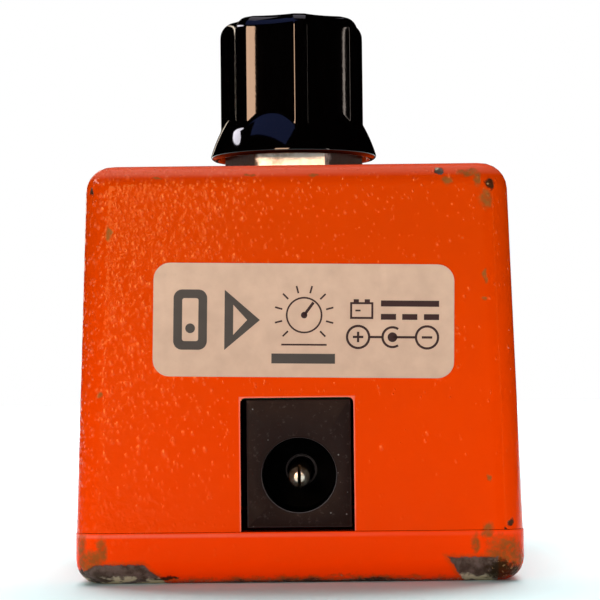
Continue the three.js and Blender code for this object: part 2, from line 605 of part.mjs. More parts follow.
// ---- Assembly -----------------------------------------------------------------------------------
add("enclosure", buildBox(), PAINT);
add("base_plate", buildBasePlate(), PAINT);
cornerSpots.forEach(([x, y], i) => {
  add(`lid_screw_${i + 1}`, buildLidScrew(), ZINC).position.set(x, y, 0);
});
addLabel();
addKnob();
addPotentiometer();
addModeButton("left", BUTTON_X);
addModeButton("right", -BUTTON_X);
addLamp();
addFootswitch();
addJack("input", -1, INPUT_Y);
addJack("output", 1, OUTPUT_Y);
addPowerSocket();
addBoards();
addRibbon();

export default pedal;
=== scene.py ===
"""Looks of a compact one-knob guitar effects pedal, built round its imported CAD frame."""

import json
import math

import bpy
import numpy as np
from mathutils import Matrix, Vector


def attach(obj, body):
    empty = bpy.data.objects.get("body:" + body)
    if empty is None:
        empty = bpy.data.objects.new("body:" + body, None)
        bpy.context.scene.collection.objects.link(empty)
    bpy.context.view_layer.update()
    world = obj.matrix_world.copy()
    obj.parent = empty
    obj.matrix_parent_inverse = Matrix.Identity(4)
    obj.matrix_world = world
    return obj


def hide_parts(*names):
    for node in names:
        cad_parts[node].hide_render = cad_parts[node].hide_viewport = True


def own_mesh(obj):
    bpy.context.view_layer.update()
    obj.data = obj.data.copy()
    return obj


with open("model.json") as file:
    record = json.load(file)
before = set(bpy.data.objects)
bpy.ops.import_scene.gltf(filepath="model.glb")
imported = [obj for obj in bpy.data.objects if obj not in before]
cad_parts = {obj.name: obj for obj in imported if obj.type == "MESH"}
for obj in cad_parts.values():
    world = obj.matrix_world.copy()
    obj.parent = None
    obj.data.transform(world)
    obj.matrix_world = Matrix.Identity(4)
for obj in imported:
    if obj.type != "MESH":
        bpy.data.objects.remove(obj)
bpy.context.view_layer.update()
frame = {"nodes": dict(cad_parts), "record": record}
NODES = frame["nodes"]
MM = 0.001

# ---- Sizes shared with the CAD model, in millimetres ------------
HALF_WIDTH, HALF_LENGTH = 19.3, 46.3
ROOF_Z, PLATE_H = 36.15, 4.4
DRAFT = math.tan(math.radians(1.8))
KNOB_X, KNOB_Y, KNOB_FOOT, KNOB_TOP = -0.4, -27.5, 38.0, 51.0
LAND_R, CROWN_R, POINTER_ANGLE = 6.76, 1.5, 122.7
SOCKET_X, SOCKET_FACE_Y, SOCKET_Z, SOCKET_HOLE_Z = 0.02, -45.6, 4.72, 9.22
BUTTON_X, BUTTON_Y, LED_Y, FOOTSWITCH_Y = 8.5, -11.0, 9.0, 30.0
JACK_Z, INPUT_Y, OUTPUT_Y, JACK_SEAT = 12.3, -7.2, 8.5, 19.35
BOARD_TOP = 27.0
NOTCH_X, NOTCH_HALF, NOTCH_TOP = -0.12, 4.87, 15.88


# ---- Camera ------------
def add_camera():
    """A long lens at table height, facing the end wall with the power socket."""
    data = bpy.data.cameras.new("camera")
    data.sensor_width = 36.0
    data.lens = 153.9
    data.clip_start, data.clip_end = 0.01, 20
    camera = bpy.data.objects.new("camera", data)
    bpy.context.scene.collection.objects.link(camera)
    place = Vector((2.7, -266.3, 15.9)) * MM
    target = Vector((0.26, -46.3, 24.24)) * MM
    turn = (target - place).to_track_quat("-Z", "Y").to_matrix()
    roll = Matrix.Rotation(math.radians(-0.6), 3, "Z")
    camera.matrix_world = Matrix.Translation(place) @ (turn @ roll).to_4x4()
    bpy.context.scene.camera = camera


add_camera()


# ---- Node materials ------------
class Look:
    """A material being built: most methods add one node and return its output socket."""

    def __init__(self, name, color, roughness, metallic=0.0, **constants):
        self.material = bpy.data.materials.new(name)
        self.material.use_nodes = True
        self.tree = self.material.node_tree
        self.tree.nodes.clear()
        self.bsdf = self.tree.nodes.new("ShaderNodeBsdfPrincipled")
        out = self.tree.nodes.new("ShaderNodeOutputMaterial")
        self.tree.links.new(self.bsdf.outputs[0], out.inputs[0])
        self.set("Base Color", color)
        self.set("Roughness", roughness)
        self.set("Metallic", metallic)
        for key, value in constants.items():
            self.set(key.replace("_", " "), value)
        coord = self.tree.nodes.new("ShaderNodeTexCoord")
        self.mm = self.vector("SCALE", coord.outputs["Object"], scale=1 / MM)

    def feed(self, socket, value):
        if isinstance(value, bpy.types.NodeSocket):
            self.tree.links.new(value, socket)
        elif hasattr(value, "__len__") and len(value) == 3 and len(socket.default_value) == 4:
            socket.default_value = (*value, 1)
        else:
            socket.default_value = value

    def set(self, name, value):
        self.feed(self.bsdf.inputs[name], value)

    def vector(self, operation, a, b=None, scale=None):
        node = self.tree.nodes.new("ShaderNodeVectorMath")
        node.operation = operation
        self.feed(node.inputs[0], a)
        if b is not None:
            self.feed(node.inputs[1], b)
        if scale is not None:
            self.feed(node.inputs["Scale"], scale)
        return node.outputs["Value" if operation in ("LENGTH", "DISTANCE", "DOT_PRODUCT") else "Vector"]

    def math(self, operation, first, *rest):
        """One math node, or a chain of them from the left where there are more than two values."""
        for value in rest:
            node = self.tree.nodes.new("ShaderNodeMath")
            node.operation = operation
            self.feed(node.inputs[0], first)
            self.feed(node.inputs[1], value)
            first = node.outputs[0]
        return first

    def plus(self, *values):
        return self.math("ADD", *values)

    def minus(self, *values):
        return self.math("SUBTRACT", *values)

    def times(self, *values):
        return self.math("MULTIPLY", *values)

    def over(self, *values):
        return self.math("DIVIDE", *values)

    def least(self, *values):
        return self.math("MINIMUM", *values)

    def most(self, *values):
        return self.math("MAXIMUM", *values)

    def size(self, value):
        return self.math("ABSOLUTE", value, 0.0)

    def axes(self, vector=None):
        node = self.tree.nodes.new("ShaderNodeSeparateXYZ")
        self.feed(node.inputs[0], vector or self.mm)
        return list(node.outputs)

    def noise(self, per_mm, detail=3.0, roughness=0.55, vector=None, color=False):
        node = self.tree.nodes.new("ShaderNodeTexNoise")
        self.feed(node.inputs["Vector"], vector or self.mm)
        for key, value in (("Scale", per_mm), ("Detail", detail), ("Roughness", roughness)):
            node.inputs[key].default_value = value
        return node.outputs["Color" if color else 0]

    def voronoi(self, per_mm, vector=None, randomness=1.0):
        node = self.tree.nodes.new("ShaderNodeTexVoronoi")
        self.feed(node.inputs["Vector"], vector or self.mm)
        node.inputs["Scale"].default_value = per_mm
        node.inputs["Randomness"].default_value = randomness
        return node.outputs["Distance"], node.outputs["Color"]

    def span(self, value, low, high, to_low=0.0, to_high=1.0, smooth=True):
        """value from low..high (either way round) to to_low..to_high, held at the ends."""
        node = self.tree.nodes.new("ShaderNodeMapRange")
        if smooth:
            node.interpolation_type = "SMOOTHSTEP"
        for index, part in enumerate((value, low, high, to_low, to_high)):
            self.feed(node.inputs[index], part)
        return node.outputs[0]

    def mix(self, amount, a, b):
        node = self.tree.nodes.new("ShaderNodeMix")
        node.data_type = "RGBA"
        self.feed(node.inputs[0], amount)
        self.feed(node.inputs[6], a)
        self.feed(node.inputs[7], b)
        return node.outputs[2]

    def bump(self, height, distance_mm, strength=1.0, normal=None):
        node = self.tree.nodes.new("ShaderNodeBump")
        node.inputs["Strength"].default_value = strength
        node.inputs["Distance"].default_value = distance_mm * MM
        self.feed(node.inputs["Height"], height)
        if normal is not None:
            self.feed(node.inputs["Normal"], normal)
        return node.outputs[0]

    def nearest(self, spots, vector):
        """Distance to the nearest of some ellipsoids (centre, radii), 1 on their surfaces."""
        lengths = []
        for centre, radii in spots:
            away = self.vector("SUBTRACT", vector, centre)
            away = self.vector("MULTIPLY", away, tuple(1 / r for r in radii))
            lengths.append(self.vector("LENGTH", away))
        return self.least(*lengths)


def edge_distance(look, z_from_edge):
    """How far a point is from the box's edges and from its corners.

    These are the second smallest and the largest of its distances to the box's faces."""
    x, y, z = look.axes()
    lean = look.times(look.minus(z, PLATE_H), DRAFT)
    dx, dy = [look.minus(look.minus(half, lean), look.size(value))
              for value, half in ((x, HALF_WIDTH), (y, HALF_LENGTH))]
    dz = z_from_edge(look, z)
    near, far = look.least(dx, dy), look.most(dx, dy)
    return look.most(near, look.least(far, dz)), look.most(far, dz)


def edge_wear(look, z_from_edge, ragged, on_end, wear):
    """Bare metal and scuffs along the edges: more where three edges meet, in patches along the rest."""
    edge, corner = edge_distance(look, z_from_edge)
    share = look.span(on_end, 0.0, 1.0, 1.0, wear)
    reach = look.span(look.noise(0.09, 2, 0.5), 0.5, 0.7, 0.0, 0.9)
    at_corner = look.span(corner, 5.0, 1.0, 0.0, 0.6)
    limit = look.minus(look.times(look.plus(reach, at_corner, 0.35), share), 0.1)
    rubbed = look.minus(limit, look.plus(edge, look.times(ragged, 1.4)))
    return look.span(rubbed, 0.0, 0.15), look.span(rubbed, -0.35, 0.0)


def inside_lines(look, x, z, lines):
    """How far inside a set of straight lines a point of the end wall is; each is (across, up, offset)."""
    return look.least(*[look.plus(look.times(x, across), look.times(z, up), offset)
                        for across, up, offset in lines])


def droplets(look, x, z):
    """Small beads over a fine unevenness in the paint, coarser towards one side of each wall."""
    side = look.plus(look.times(x, -0.022), look.times(z, 0.012))
    thick = look.plus(side, look.times(look.noise(0.2, 2), 0.3), 0.13)
    rough_side = look.span(look.plus(thick, look.times(x, -0.02)), 0.55, 1.0)
    swell = look.plus(look.times(rough_side, 0.45), 1.0)
    few = look.span(z, PLATE_H + 1, PLATE_H + 10, 0.3, 1.0)
    stretched = look.vector("MULTIPLY", look.mm, (1.0, 1.0, 0.75))
    layers = []
    for per_mm, size, rise in ((1.0, 0.18, 0.95), (1.6, 0.24, 0.85), (2.3, 0.3, 0.7)):
        distance, pick = look.voronoi(per_mm, vector=stretched)
        chosen, scale, _ = look.axes(pick)
        chance = look.times(look.span(look.minus(thick, chosen), -0.08, 0.08, 0.0, rise), few)
        radius = look.times(look.plus(scale, 0.5), size, swell)
        layers.append(look.times(look.span(look.over(distance, radius), 1.0, 0.0), chance))
    peel = look.times(look.noise(1.5, 2, 0.5), look.plus(look.times(rough_side, 0.8), 0.1))
    return look.most(*layers), peel


def painted_edge_highlights(look, x, y, z):
    """Painted highlights: a thin pale line round the socket's slot, on the rounded edge of the roof and on
    the lip under the seam, the last two stronger towards -x.
    """
    across = look.minus(look.size(look.minus(x, NOTCH_X)), NOTCH_HALF)
    rim = look.most(across, look.minus(z, NOTCH_TOP))
    rim = look.times(look.span(rim, 0.15, 0.05), look.span(y, -45.0, -45.3),
                     look.span(z, PLATE_H, PLATE_H + 0.1, 0.0, 0.35))
    crest = look.times(look.span(z, ROOF_Z - 1.25, ROOF_Z - 0.75), look.span(z, ROOF_Z, ROOF_Z - 0.12),
                       look.span(x, 14.0, -14.0, 0.1, 0.17))
    lip = look.times(look.span(z, PLATE_H - 0.5, PLATE_H - 0.3), look.span(z, PLATE_H - 0.05, PLATE_H - 0.2),
                     look.span(x, 14.0, -14.0, 0.04, 0.22))
    return look.most(rim, crest, lip)


# Painted highlights: the droplets' lighter orange and the pale pink of the rounded edges.
DEEP_ORANGE, DROPLET_HIGHLIGHT_ORANGE, EDGE_HIGHLIGHT_PINK = (0.4, 0.02, 0.0), (1.0, 0.16, 0.04), (1.0, 0.35, 0.25)
PRIMER_BROWNS = (0.1, 0.045, 0.008), (0.27, 0.1, 0.02)
METAL_GREYS, METAL_GLINT = ((0.06, 0.037, 0.028), (0.135, 0.087, 0.075)), (0.62, 0.5, 0.36)
SOOT_BLACKS = (0.018, 0.01, 0.004), (0.3, 0.17, 0.08)


def paint(name, z_from_edge, marks, wear, lower_lit_color, upper_shaded_color, shine):
    """Sprayed orange enamel with raised droplets, worn to brown primer and grey metal at its edges. Its
    colour runs from the lower to the upper colour as painted light and shade, with painted highlights on the
    droplets, the rounded edges and the bare metal near the edge.
    """
    look = Look(name, lower_lit_color, 0.3, Specular_IOR_Level=shine, Specular_Tint=(1.0, 0.8, 0.3))
    x, y, z = look.axes()
    warp = look.vector("SUBTRACT", look.noise(0.9, 3, 0.5, color=True), (0.5, 0.5, 0.5))
    torn = look.vector("ADD", look.mm, look.vector("SCALE", warp, scale=0.9))
    ragged = look.minus(look.noise(2.2, 4, 0.65), 0.5)
    on_end = look.span(y, -40.0, -43.0)

    def cover(spots, soft):
        if not spots:
            return 0.0
        shape = look.plus(look.nearest(spots, torn), look.times(ragged, 1.1))
        return look.span(shape, 1.0 + soft, 1.0 - soft)

    # How much of each layer shows: bare metal, brown primer and its halo, and dark dirt.
    bare, scuff = edge_wear(look, z_from_edge, ragged, on_end, wear)
    bare = look.most(bare, cover(marks["metal"], 0.2))
    for lines in marks["patches"]:
        depth = look.plus(inside_lines(look, x, z, lines), look.times(ragged, 0.5))
        bare = look.most(bare, look.times(look.span(depth, -0.05, 0.12), on_end))
        scuff = look.most(scuff, look.times(look.span(depth, -0.45, 0.0), on_end))
    dark = cover(marks["dark"], 0.3)
    brown = look.times(cover(marks["brown"], 0.45), look.span(look.noise(2.6, 3), 0.3, 0.6, 0.55, 1.0))
    brown = look.most(brown, look.times(scuff, 0.4))
    exposed = look.most(bare, dark)
    low = look.plus(z_from_edge(look, z), look.times(ragged, 0.8))
    glint = look.times(look.span(low, 0.8, 0.5), look.span(look.noise(0.9, 2, 0.5), 0.4, 0.55))
    beads, peel = droplets(look, x, z)

    # Painted light and shade: the orange runs from the lower colour near the foot to the upper colour towards
    # the roof.
    color = look.mix(look.span(z, PLATE_H + 1, ROOF_Z - 6, smooth=False), lower_lit_color, upper_shaded_color)
    color = look.mix(look.times(look.noise(0.25, 3), 0.1), color, DEEP_ORANGE)
    # Painted highlight: each droplet is mixed towards a lighter orange.
    color = look.mix(look.times(beads, 0.3), color, DROPLET_HIGHLIGHT_ORANGE)
    # Painted highlight: pale lines along the slot's rim, the roof's rounded edge and the lip under the seam.
    color = look.mix(painted_edge_highlights(look, x, y, z), color, EDGE_HIGHLIGHT_PINK)
    color = look.mix(look.times(brown, 0.85), color, look.mix(look.noise(1.3, 3), *PRIMER_BROWNS))
    grey = look.mix(look.span(look.noise(1.1, 4, 0.6), 0.35, 0.65), *METAL_GREYS)
    # Painted highlight: in patches, the bare metal nearest the edge is a pale glint colour.
    color = look.mix(bare, color, look.mix(glint, grey, METAL_GLINT))
    soot = look.mix(look.span(look.noise(3.2, 2, 0.5), 0.6, 0.72), *SOOT_BLACKS)
    look.set("Base Color", look.mix(look.times(dark, 0.94), color, soot))

    look.set("Specular IOR Level", look.plus(look.times(beads, 0.3), shine))
    look.set("Metallic", look.times(bare, look.times(glint, 0.5)))
    gloss = look.span(look.noise(0.7, 3), 0.3, 0.7, 0.08, 0.12)
    dull = look.most(look.times(brown, 0.3), look.times(exposed, 0.25))
    look.set("Roughness", look.plus(gloss, dull))
    film = look.minus(look.times(look.minus(1.0, exposed), 0.8), look.times(brown, 0.15))
    film = look.plus(film, look.times(beads, 0.7), look.times(peel, 0.6))
    look.set("Normal", look.bump(look.plus(film, look.times(ragged, exposed, 1.2)), 0.09, 1.0))
    return look.material


def moulded(name, color, roughness, grain=2.0, depth=0.01, dust=0.0, **constants):
    """Plain moulded plastic or lacquer: slight mottling, fine grain and, if asked, dust and scratches."""
    look = Look(name, color, roughness, **constants)
    base = look.mix(look.noise(0.5, 3), color, tuple(c * 0.7 for c in color))
    if dust:
        fleck, pick = look.voronoi(1.1)
        fleck = look.span(fleck, 0.16, 0.05)
        kept = look.span(look.axes(pick)[1], 0.62, 0.7)
        streaks = look.noise(0.8, 5, 0.7, vector=look.vector("MULTIPLY", look.mm, (3.0, 1.0, 0.5)))
        haze = look.span(streaks, 0.5, 0.75, 0, 0.5)
        marks = look.most(look.times(fleck, kept), haze)
        base = look.mix(look.times(marks, dust), base, (0.2, 0.17, 0.15))
    look.set("Base Color", base)
    look.set("Roughness", look.span(look.noise(grain * 0.4, 4), 0.3, 0.7, roughness * 0.85, roughness * 1.15))
    look.set("Normal", look.bump(look.noise(grain * 3, 4, 0.6), depth, 0.6))
    return look.material


def metal(name, color, roughness, tarnish=(0.2, 0.15, 0.1), amount=0.3):
    """Plated or turned metal, finely uneven, with tarnish in patches."""
    look = Look(name, color, roughness, 1.0)
    uneven = look.noise(4.0, 3, 0.6)
    stain = look.span(look.noise(0.6, 5, 0.7), 0.5, 0.75, 0, amount)
    look.set("Base Color", look.mix(stain, color, tarnish))
    polish = look.span(uneven, 0.3, 0.7, roughness * 0.7, roughness * 1.3)
    look.set("Roughness", look.plus(polish, look.times(stain, 0.3)))
    look.set("Normal", look.bump(uneven, 0.0012, 0.5))
    return look.material


def wall_spots(*spots):
    """Ellipsoids round marks on the power-socket end wall, from each mark's x, z and half sizes."""
    made, depth = [], 2.4
    for x, z, half_x, half_z in spots:
        y = -(HALF_LENGTH - DRAFT * max(z - PLATE_H, 0))
        made.append(((x, y, z), (half_x, depth, half_z)))
    return made


UPPER_MARKS = {
    "patches": [],
    "metal": wall_spots((12.35, 35.3, 0.4, 0.3)),
    "dark": wall_spots((16.8, 34.1, 0.42, 0.36), (-17.7, 33.9, 0.16, 0.35), (18.1, 5.1, 0.2, 0.28),
                       (17.7, 4.5, 0.15, 0.2)),
    "brown": wall_spots((13.0, 34.5, 0.5, 0.35), (14.9, 35.2, 0.9, 0.25), (15.7, 34.6, 0.3, 0.6),
                        (16.3, 32.9, 0.55, 0.75), (-16.2, 30.2, 0.3, 0.5), (16.15, 26.2, 0.22, 0.5),
                        (16.1, 24.2, 0.2, 0.22), (-17.1, 16.2, 0.2, 0.25), (-12.0, 35.0, 0.4, 0.12),
                        (-4.0, 35.1, 0.4, 0.12), (1.5, 35.1, 0.5, 0.12), (16.3, 8.9, 0.2, 0.3),
                        (16.1, 4.7, 0.45, 0.35)),
}
LOWER_MARKS = {
    "patches": [[(0, -1, 1.74), (-0.65, -0.76, -7.4), (0.447, -0.894, 9.34)],
                [(0, -1, 2.15), (0.84, 0.54, -11.8), (-1, 0, 17.0)]],
    "metal": [],
    "dark": wall_spots((17.2, 0.9, 1.2, 0.95), (18.4, 0.7, 0.9, 0.7), (-18.9, 0.9, 0.3, 0.5),
                       (-18.3, 0.2, 1.1, 0.3), (-11.6, 0.5, 1.2, 0.16), (3.0, -0.1, 12.5, 0.36)),
    "brown": wall_spots((-18.7, 2.6, 0.4, 1.7), (-18.2, 1.7, 0.8, 0.8), (-16.9, 3.0, 0.45, 1.1),
                        (17.6, 2.6, 1.5, 1.2), (18.7, 1.6, 0.8, 1.4), (17.0, 1.7, 1.2, 0.8),
                        (-17.7, 2.2, 1.0, 0.7), (15.0, 3.3, 0.35, 0.7), (16.1, 4.1, 0.5, 0.4),
                        (0.0, 0.0, 18.0, 0.5)),
}


def pin_metal():
    """Nickel-plated contact pin, with painted shade in the slot across its tip and on its shank behind the
    tip.
    """
    look = Look("pin_metal", (0.85, 0.8, 0.7), 0.3, 1.0)
    x, y, _ = look.axes()
    # Painted shade in the slot across the tip.
    slot = look.span(look.size(look.minus(x, SOCKET_X)), 0.14, 0.08)
    slot = look.times(slot, look.span(y, SOCKET_FACE_Y + 3.4, SOCKET_FACE_Y + 3.2))
    plated = look.mix(look.span(look.noise(1.2, 3), 0.4, 0.7), (1.0, 0.95, 0.85), (0.6, 0.5, 0.38))
    tip = NODES["power_socket_pin"].bound_box[0][1] / MM
    # Painted shade: behind its tip the pin turns near black, back into the hole.
    plated = look.mix(look.span(y, tip + 0.9, tip + 0.35), (0.03, 0.022, 0.017), plated)
    look.set("Base Color", look.mix(slot, plated, (0.06, 0.045, 0.03)))
    look.set("Roughness", look.plus(look.times(slot, 0.3), 0.42))
    look.set("Normal", look.bump(look.noise(5.0, 3), 0.004, 0.6))
    return look.material


WORN_NICKEL, NICKEL_TARNISH = (0.74, 0.7, 0.64), (0.2, 0.14, 0.09)


def side_shaded_nut():
    """Worn nickel nut, with painted shade in dark brown on the side facets, away from the middle of the end
    wall.
    """
    look = Look("side_shaded_nut", WORN_NICKEL, 0.38, 1.0)
    x = look.axes()[0]
    ragged = look.times(look.minus(look.noise(1.6, 3), 0.5), 1.2)
    aside = look.plus(look.size(look.minus(x, KNOB_X)), ragged)
    # Painted shade: the facets away from the middle turn dark brown and less metallic.
    side_shade = look.span(aside, 2.9, 3.5)
    stain = look.span(look.noise(0.6, 5, 0.7), 0.5, 0.75, 0, 0.6)
    plated = look.mix(stain, WORN_NICKEL, NICKEL_TARNISH)
    look.set("Base Color", look.mix(side_shade, plated, (0.06, 0.032, 0.018)))
    look.set("Metallic", look.minus(1.0, look.times(side_shade, 0.7)))
    look.set("Roughness", look.span(look.noise(4.0, 3), 0.3, 0.7, 0.3, 0.46))
    look.set("Normal", look.bump(look.noise(5.0, 3), 0.003, 0.6))
    return look.material


def socket_plastic():
    """Satin black plastic with pale specks of dust towards one corner, painted shade down the hole, a painted
    lit ring round the pin and a painted highlight round the hole's mouth.
    """
    look = Look("socket_plastic", (0.02, 0.01, 0.008), 0.5, Specular_IOR_Level=0.06)
    x, y, z = look.axes()
    depth = look.minus(y, SOCKET_FACE_Y)
    face = look.mix(look.noise(0.5, 3), (0.0155, 0.0062, 0.0048), (0.0118, 0.0048, 0.0037))
    worn = look.times(look.span(look.noise(2.6, 4, 0.65), 0.56, 0.72), 0.12)
    face = look.mix(worn, face, (0.16, 0.12, 0.11))
    speck, pick = look.voronoi(1.5)
    kept = look.minus(look.axes(pick)[0], look.span(look.minus(x, z), -12.0, -2.0, 0.0, 0.3))
    speck = look.times(look.span(speck, 0.13, 0.05), look.span(kept, 0.22, 0.16))
    face = look.mix(look.times(speck, 0.5), face, (0.3, 0.27, 0.26))
    # Painted highlight: a pale line round the mouth of the hole, strongest along its bottom.
    rim = look.times(look.span(depth, 0.02, 0.06), look.span(depth, 0.3, 0.16))
    away = look.vector("DISTANCE", look.mm, (SOCKET_X, SOCKET_FACE_Y, SOCKET_HOLE_Z))
    rim_highlight = look.span(z, SOCKET_HOLE_Z + 1.5, SOCKET_HOLE_Z - 2.0, 0.25, 1.0)
    rim_highlight = look.times(rim_highlight, look.span(away, 4.0, 3.6, 0.2, 1.0))
    face = look.mix(look.times(rim, rim_highlight), face, (0.12, 0.1, 0.1))
    # Painted shade: the hole turns near black just inside its mouth, with a paler painted ring round the pin
    # deep inside.
    radius = look.vector("DISTANCE", look.mm, (SOCKET_X + 0.1, SOCKET_FACE_Y + 9.3, SOCKET_HOLE_Z + 0.2))
    ring = look.times(look.span(radius, 1.44, 1.38), look.span(radius, 1.2, 1.24))
    inner = look.mix(ring, (0.0003, 0.0002, 0.0002), (0.1, 0.08, 0.075))
    look.set("Base Color", look.mix(look.span(depth, 0.14, 0.4), face, inner))
    look.set("Roughness", look.span(look.noise(1.0, 4), 0.3, 0.7, 0.42, 0.55))
    look.set("Specular IOR Level", look.span(depth, 0.14, 0.4, 0.07, 0.02))
    look.set("Normal", look.bump(look.noise(6.0, 4, 0.6), 0.012, 0.6))
    return look.material


LOOKS = {
    # The wall's lower orange is lighter and its upper one darker: painted light and shade.
    "orange_paint": paint("upper_paint", lambda look, z: look.minus(ROOF_Z, z), UPPER_MARKS, 0.35,
                          (0.89, 0.046, 0.0), (0.61, 0.039, 0.0), 0.12),
    "label_film": moulded("label_film", (0.665, 0.41, 0.292), 0.42, 1.5, 0.012, dust=0.06,
                          Specular_IOR_Level=0.2),
    "knob_black": moulded("glossy_black", (0.0008, 0.0005, 0.0005), 0.05, 1.0, 0.003),
    "pointer_white": moulded("pointer_white", (0.82, 0.8, 0.75), 0.35),
    "socket_black": moulded("satin_black", (0.023, 0.0115, 0.0095), 0.5, 2.0, 0.012, dust=0.1,
                            Specular_IOR_Level=0.06),
    "button_black": moulded("button_black", (0.012, 0.012, 0.013), 0.32),
    "chip_black": moulded("epoxy_black", (0.02, 0.02, 0.022), 0.6, 3.0, 0.02),
    "nickel": metal("nickel_plate", (0.8, 0.77, 0.7), 0.24, amount=0.25),
    "bright_chrome": metal("polished_chrome", (0.8, 0.81, 0.83), 0.07, amount=0.12),
    "zinc_steel": metal("zinc_plate", (0.55, 0.56, 0.58), 0.36),
    "contact_bronze": metal("spring_bronze", (0.72, 0.5, 0.26), 0.3),
    "board_green": moulded("solder_mask", (0.012, 0.1, 0.04), 0.35, 1.2, 0.015),
    "blue_plastic": moulded("blue_moulding", (0.02, 0.09, 0.4), 0.4),
    "film_brown": moulded("dipped_brown", (0.3, 0.08, 0.03), 0.3, 1.0, 0.03),
    "nylon": moulded("nylon_white", (0.72, 0.7, 0.62), 0.45),
    "led_clear": moulded("led_lens", (0.5, 0.7, 0.95), 0.12, Transmission_Weight=0.75, IOR=1.5),
}
OWN_LOOKS = {
    "base_plate": paint("lower_paint", lambda look, z: z, LOWER_MARKS, 0.7,
                        (0.97, 0.046, 0.0), (0.97, 0.046, 0.0), 0.06),
    "power_socket_body": socket_plastic(), "power_socket_pin": pin_metal(), "pot_nut": side_shaded_nut(),
    "pot_washer": metal("worn_nickel", WORN_NICKEL, 0.38, NICKEL_TARNISH, amount=0.6),
    "input_jack_washer": LOOKS["zinc_steel"], "output_jack_washer": LOOKS["zinc_steel"],
}
BOLD_INK = moulded("label_ink", (0.075, 0.058, 0.05), 0.5, Specular_IOR_Level=0.1)
FINE_INK = moulded("fine_ink", (0.045, 0.019, 0.018), 0.5, Specular_IOR_Level=0.1)
SLOT_OF = {part["node"]: part["material_slot"] for part in frame["record"]["subparts"]}


def look_of(node):
    """A CAD node's own look, or else the look of its slot."""
    return OWN_LOOKS.get(node) or LOOKS[SLOT_OF[node]]


# ---- CAD nodes: smooth shading by angle, and small edge radii ------------
def shading_group():
    """Merges the imported triangles and shades them smooth, with edges over 32 degrees left sharp."""
    group = bpy.data.node_groups.new("shade_by_angle", "GeometryNodeTree")
    group.interface.new_socket("Geometry", in_out="INPUT", socket_type="NodeSocketGeometry")
    group.interface.new_socket("Geometry", in_out="OUTPUT", socket_type="NodeSocketGeometry")
    new, link = group.nodes.new, group.links.new
    flow = new("NodeGroupInput").outputs[0]
    for name in ("custom_normal", "sharp_face"):
        drop = new("GeometryNodeRemoveAttribute")
        drop.inputs["Name"].default_value = name
        link(flow, drop.inputs["Geometry"])
        flow = drop.outputs["Geometry"]
    merge = new("GeometryNodeMergeByDistance")
    merge.inputs["Distance"].default_value = 2e-6
    link(flow, merge.inputs["Geometry"])
    smooth = new("GeometryNodeSetShadeSmooth")
    smooth.domain = "FACE"
    smooth.inputs["Shade Smooth"].default_value = True
    link(merge.outputs["Geometry"], smooth.inputs["Geometry"])
    angle = new("GeometryNodeInputMeshEdgeAngle")
    over = new("FunctionNodeCompare")
    over.data_type, over.operation = "FLOAT", "GREATER_THAN"
    over.inputs["B"].default_value = math.radians(32)
    link(angle.outputs["Unsigned Angle"], over.inputs["A"])
    sharp = new("GeometryNodeSetShadeSmooth")
    sharp.domain = "EDGE"
    sharp.inputs["Shade Smooth"].default_value = False
    link(smooth.outputs["Geometry"], sharp.inputs["Geometry"])
    link(over.outputs["Result"], sharp.inputs["Selection"])
    link(sharp.outputs["Geometry"], new("NodeGroupOutput").inputs[0])
    return group


SHADE = shading_group()
EDGE_RADIUS = 0.08
BEVELS = {"enclosure": 0.04, "base_plate": 0.2}
for name, node in NODES.items():
    node.data.materials.clear()
    node.data.materials.append(look_of(name))
    modifier = node.modifiers.new("shade", "NODES")
    modifier.node_group = SHADE
    bevel = node.modifiers.new("edges", "BEVEL")
    bevel.width = BEVELS.get(name, EDGE_RADIUS) * MM
    bevel.segments = 2
    bevel.limit_method = "ANGLE"
    bevel.angle_limit = math.radians(35)
    bevel.harden_normals = True
    even = node.modifiers.new("even", "WEIGHTED_NORMAL")
    even.keep_sharp = True


# ---- Pieces made here ------------
def piece(name, shape, node, body="chassis", ink=None, smooth=True, split=None):
    """A finer piece in a CAD node's place, with that node's look.

    One with an ink of its own lies on the node's piece and replaces nothing. Edges over the split angle,
    in degrees, are left sharp."""
    verts_mm, faces = shape
    mesh = bpy.data.meshes.new(name)
    mesh.from_pydata([tuple(c * MM for c in v) for v in verts_mm], [], faces)
    mesh.validate()
    mesh.materials.append(ink or look_of(node))
    mesh.polygons.foreach_set("use_smooth", [smooth] * len(mesh.polygons))
    made = bpy.data.objects.new(name, mesh)
    bpy.context.scene.collection.objects.link(made)
    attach(made, body)
    if ink is None:
        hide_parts(node)
    if split:
        made.modifiers.new("sharp", "EDGE_SPLIT").split_angle = math.radians(split)
    return made


def rings_to_mesh(rings):
    """Joins equal rings of points, first to last, closing both ends with a fan to their centres."""
    count = len(rings[0])
    verts = [tuple(p) for ring in rings for p in ring]
    faces = []
    for row in range(len(rings) - 1):
        for i in range(count):
            j = (i + 1) % count
            a, b = row * count, (row + 1) * count
            faces.append((a + i, a + j, b + j, b + i))
    for row, flip in ((0, True), (len(rings) - 1, False)):
        centre = np.mean(rings[row], axis=0)
        verts.append(tuple(centre))
        hub = len(verts) - 1
        for i in range(count):
            a, b = row * count + i, row * count + (i + 1) % count
            faces.append((b, a, hub) if flip else (a, b, hub))
    return verts, faces


